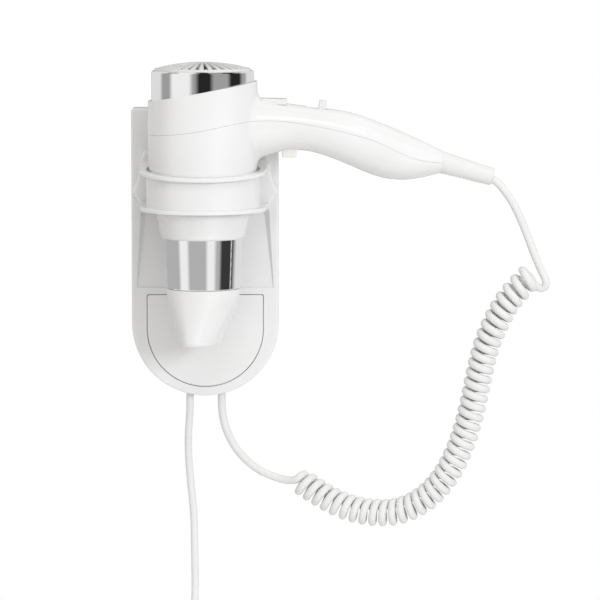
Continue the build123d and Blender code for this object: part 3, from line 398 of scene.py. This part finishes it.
def metal(
    name, low, high, rough=(0.05, 0.1), stretch=(1, 1, 1), grain=300.0, strength=0.03, distance=0.00003
):
    """Metal: a faint drift of colour, uneven polish and a fine grain, drawn out along stretch."""
    made, nodes, links, shader = material(name)
    shader.inputs["Metallic"].default_value = 1.0
    drift = remap(nodes, links, noise(nodes, links, 30.0, 4.0), 0.0, 1.0)
    links.new(mix_colours(nodes, links, drift, low, high), shader.inputs["Base Color"])
    gloss = remap(nodes, links, noise(nodes, links, 90.0, 4.0, stretch), *rough)
    links.new(gloss, shader.inputs["Roughness"])
    bump(nodes, links, shader, noise(nodes, links, grain, 3.0, stretch), strength, distance)
    return made


white_abs = plastic("white_abs", (0.80, 0.80, 0.80), (0.83, 0.83, 0.835), (0.16, 0.24), coat=0.3)
warm_white = plastic("warm_white", (0.80, 0.795, 0.775), (0.83, 0.825, 0.805), (0.22, 0.32))
cord_pvc = plastic("cord_pvc", (0.76, 0.76, 0.76), (0.80, 0.80, 0.80), (0.36, 0.48), 700.0, 0.03)
back_abs = plastic("back_abs", (0.60, 0.60, 0.59), (0.66, 0.66, 0.65), (0.42, 0.55), 500.0, 0.3, 0.0001)
black_plastic = plastic(
    "black_plastic", (0.012, 0.012, 0.013), (0.025, 0.025, 0.026), (0.35, 0.5), 600.0, 0.2, 0.0001
)
mica = plastic("mica", (0.30, 0.22, 0.12), (0.42, 0.33, 0.20), (0.4, 0.6), 200.0, 0.3, 0.0002)
ceramic = plastic("ceramic", (0.62, 0.56, 0.42), (0.70, 0.64, 0.50), (0.4, 0.5))
laminate = plastic("laminate", (0.10, 0.07, 0.02), (0.16, 0.11, 0.04), (0.4, 0.5))
chrome = metal("chrome", (0.92, 0.92, 0.93), (0.95, 0.95, 0.96), (0.015, 0.035), (1, 1, 0.2), 300.0, 0.01)
steel = metal("steel", (0.50, 0.50, 0.52), (0.60, 0.60, 0.62), (0.25, 0.4))
brass = metal("brass", (0.70, 0.52, 0.24), (0.78, 0.60, 0.30), (0.2, 0.3))
heat_wire = metal("heat_wire", (0.22, 0.20, 0.20), (0.36, 0.34, 0.33), (0.4, 0.55))
mesh_steel = metal(
    "mesh_steel", (0.05, 0.05, 0.05), (0.10, 0.10, 0.10), (0.4, 0.6), (1, 1, 1), 2500.0, 0.8, 0.0002
)

BY_SLOT = {
    "white_abs": white_abs, "warm_white": warm_white, "chrome": chrome, "cord_pvc": cord_pvc,
    "back_abs": back_abs,
    "black_plastic": black_plastic, "steel": steel, "brass": brass, "mica": mica, "heat_wire": heat_wire,
    "safety": ceramic, "board": laminate, "mesh": mesh_steel,
}
for sub in frame["record"]["subparts"]:
    node = frame["nodes"][sub["node"]]
    node.data.materials.clear()
    node.data.materials.append(BY_SLOT[sub["material_slot"]])
curly.data.materials.append(cord_pvc)
mains.data.materials.append(cord_pvc)
tie.data.materials.append(back_abs)
spring.data.materials.clear()
spring.data.materials.append(steel)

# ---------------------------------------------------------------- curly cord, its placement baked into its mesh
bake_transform(curly)


# ---------------------------------------------------------------- stage and light
def math_node(nodes, links, operation, first, second=None):
    node = nodes.new("ShaderNodeMath")
    node.operation = operation
    for socket, value in zip(node.inputs, (first, second)):
        if isinstance(value, (int, float)):
            socket.default_value = value
        elif value is not None:
            links.new(value, socket)
    return node.outputs[0]


def seen_directly(nodes, links):
    """1 for camera, glossy and transmission rays, 0 for the rays that light the object."""
    path = nodes.new("ShaderNodeLightPath")
    first = math_node(nodes, links, "MAXIMUM", path.outputs["Is Camera Ray"], path.outputs["Is Glossy Ray"])
    return math_node(nodes, links, "MAXIMUM", first, path.outputs["Is Transmission Ray"])


def studio_ring(nodes, links, factor, wall, panels):
    """A ring of plain wall with soft-edged panels on it, each (azimuth, half width, level) in degrees."""
    node = nodes.new("ShaderNodeValToRGB")
    stops = [(-180, wall)]
    for centre, half, level in panels:
        for degrees, shade in (
            (centre - half - PANEL_EDGE, wall), (centre - half, level), (centre + half, level),
            (centre + half + PANEL_EDGE, wall),
        ):
            stops.append((degrees, shade))
    stops.append((180, wall))
    elements = node.color_ramp.elements
    while len(elements) < len(stops):
        elements.new(0.5)
    for element, (degrees, shade) in zip(elements, stops):
        element.position = (degrees + 180) / 360
        element.color = (shade, shade, shade, 1)
    links.new(factor, node.inputs["Fac"])
    return node.outputs["Color"]


# The studio that polished metal shows: a grey wall, soft boxes to the left and right, and the dark room
# between and beyond them. Azimuths are from the camera's side, + towards +X; the upper ring is at eye level.
PANEL_EDGE = 10
UPPER_WALL = 0.35
UPPER_PANELS = [(-135, 25, 0.75), (-50, 20, 0.9), (5, 12, 0.02), (80, 12, 0.02), (145, 25, 0.75)]
LOWER_WALL = 0.45
LOWER_PANELS = [(-60, 10, 0.9), (25, 8, 0.9), (80, 20, 0.04), (145, 25, 0.75)]
STUDIO_SPLIT = (-0.10, -0.06)
# The room's light: dimmer from below than from above, and a little warm.
AMBIENT_LOW = (0.48, 0.472, 0.46)
AMBIENT_HIGH = (0.86, 0.85, 0.835)
BACKDROP = 1.0

world = bpy.data.worlds.new("world")
scene.world = world
world.use_nodes = True
wn, wl = world.node_tree.nodes, world.node_tree.links
wn.clear()
path = wn.new("ShaderNodeLightPath")
direction = wn.new("ShaderNodeTexCoord")
parts = wn.new("ShaderNodeSeparateXYZ")
wl.new(direction.outputs["Generated"], parts.inputs[0])
back = math_node(wn, wl, "MULTIPLY", parts.outputs["Y"], -1.0)
azimuth = math_node(wn, wl, "ARCTAN2", parts.outputs["X"], back)
turn = math_node(wn, wl, "ADD", math_node(wn, wl, "DIVIDE", azimuth, 2 * math.pi), 0.5)
upper = studio_ring(wn, wl, turn, UPPER_WALL, UPPER_PANELS)
lower = studio_ring(wn, wl, turn, LOWER_WALL, LOWER_PANELS)
height = remap(wn, wl, parts.outputs["Z"], 0.0, 1.0, *STUDIO_SPLIT)
studio = wn.new("ShaderNodeMix")
studio.data_type = "RGBA"
wl.new(height, studio.inputs["Factor"])
wl.new(lower, studio.inputs["A"])
wl.new(upper, studio.inputs["B"])


def background(colour, strength):
    node = wn.new("ShaderNodeBackground")
    if isinstance(colour, tuple):
        node.inputs["Color"].default_value = (*colour, 1)
    else:
        wl.new(colour, node.inputs["Color"])
    node.inputs["Strength"].default_value = strength
    return node.outputs[0]


def world_mix(factor, first, second):
    node = wn.new("ShaderNodeMixShader")
    wl.new(factor, node.inputs["Fac"])
    wl.new(first, node.inputs[1])
    wl.new(second, node.inputs[2])
    return node.outputs[0]


rise = remap(wn, wl, parts.outputs["Z"], 0.0, 1.0, -0.7, 0.7)
ambient = mix_colours(wn, wl, rise, AMBIENT_LOW, AMBIENT_HIGH)
lit = background(ambient, 1.0)
shown = background(studio.outputs["Result"], 1.0)
mirrored = world_mix(path.outputs["Is Glossy Ray"], lit, shown)
clear = math_node(wn, wl, "MAXIMUM", path.outputs["Is Camera Ray"], path.outputs["Is Transmission Ray"])
world_out = wn.new("ShaderNodeOutputWorld")
wl.new(world_mix(clear, mirrored, background((1.0, 1.0, 1.0), BACKDROP)), world_out.inputs["Surface"])


def area_light(name, place, target, width, height, power, colour=(1, 1, 1)):
    data = bpy.data.lights.new(name, "AREA")
    data.shape = "RECTANGLE"
    data.size, data.size_y = width, height
    data.energy = power
    data.color = colour
    obj = link(data, name)
    obj.location = place
    obj.rotation_euler = (Vector(target) - Vector(place)).to_track_quat("-Z", "Y").to_euler()
    return obj


def lamp(name, azimuth, elevation, distance, width, height, power, colour=(1, 1, 1)):
    """A soft box at an azimuth from the camera's side, + towards +X, and an elevation, in degrees."""
    a, e = math.radians(azimuth), math.radians(elevation)
    reach = distance * math.cos(e)
    away = (reach * math.sin(a), -reach * math.cos(a), distance * math.sin(e))
    place = tuple(middle + step for middle, step in zip(MIDDLE, away))
    return area_light(name, place, MIDDLE, width, height, power, colour)


MIDDLE = (0.05, -0.04, 0.02)
key = lamp("key", 31.0, 13.0, 2.2, 0.5, 0.62, 17.5, (0.97, 0.98, 1.0))
fill = lamp("fill", -4.0, 8.0, 2.2, 1.1, 0.45, 3.2)
lamp("top", 8.0, 46.0, 2.0, 0.7, 0.2, 3.2)
# Polished metal shows the studio round it; only the top box shows, as the highlight along the crown.
for box in (key, fill):
    box.visible_glossy = False

FLOOR_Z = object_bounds()[0][2] - 0.03
floor_r = 0.62
FLOOR_SIDES = 96
floor_mesh = bpy.data.meshes.new("floor")
floor_angles = np.linspace(0, 2 * math.pi, FLOOR_SIDES, endpoint=False)
ring = [(floor_r * math.cos(a), floor_r * math.sin(a), 0.0) for a in floor_angles]
floor_mesh.from_pydata(ring, [], [tuple(range(FLOOR_SIDES))])
floor = link(floor_mesh, "floor")
floor.location = (0.06, 0.0, FLOOR_Z)
floor_mat = bpy.data.materials.new("floor")
floor_mat.use_nodes = True
fn, fl = floor_mat.node_tree.nodes, floor_mat.node_tree.links
floor_shader = fn["Principled BSDF"]
floor_shader.inputs["Base Color"].default_value = (0.86, 0.86, 0.86, 1)
floor_shader.inputs["Roughness"].default_value = 0.9
glow = fn.new("ShaderNodeEmission")
glow.inputs["Strength"].default_value = 1.0
coords = fn.new("ShaderNodeTexCoord")
span = fn.new("ShaderNodeVectorMath")
span.operation = "LENGTH"
fl.new(coords.outputs["Object"], span.inputs[0])
fade = remap(fn, fl, span.outputs["Value"], 0.0, 1.0, 0.25, floor_r - 0.02)
both = math_node(fn, fl, "MULTIPLY", fade, seen_directly(fn, fl))
floor_mix = fn.new("ShaderNodeMixShader")
fl.new(both, floor_mix.inputs["Fac"])
fl.new(floor_shader.outputs[0], floor_mix.inputs[1])
fl.new(glow.outputs[0], floor_mix.inputs[2])
fl.new(floor_mix.outputs[0], fn["Material Output"].inputs["Surface"])
floor.data.materials.append(floor_mat)

scene.view_settings.view_transform = "Standard"
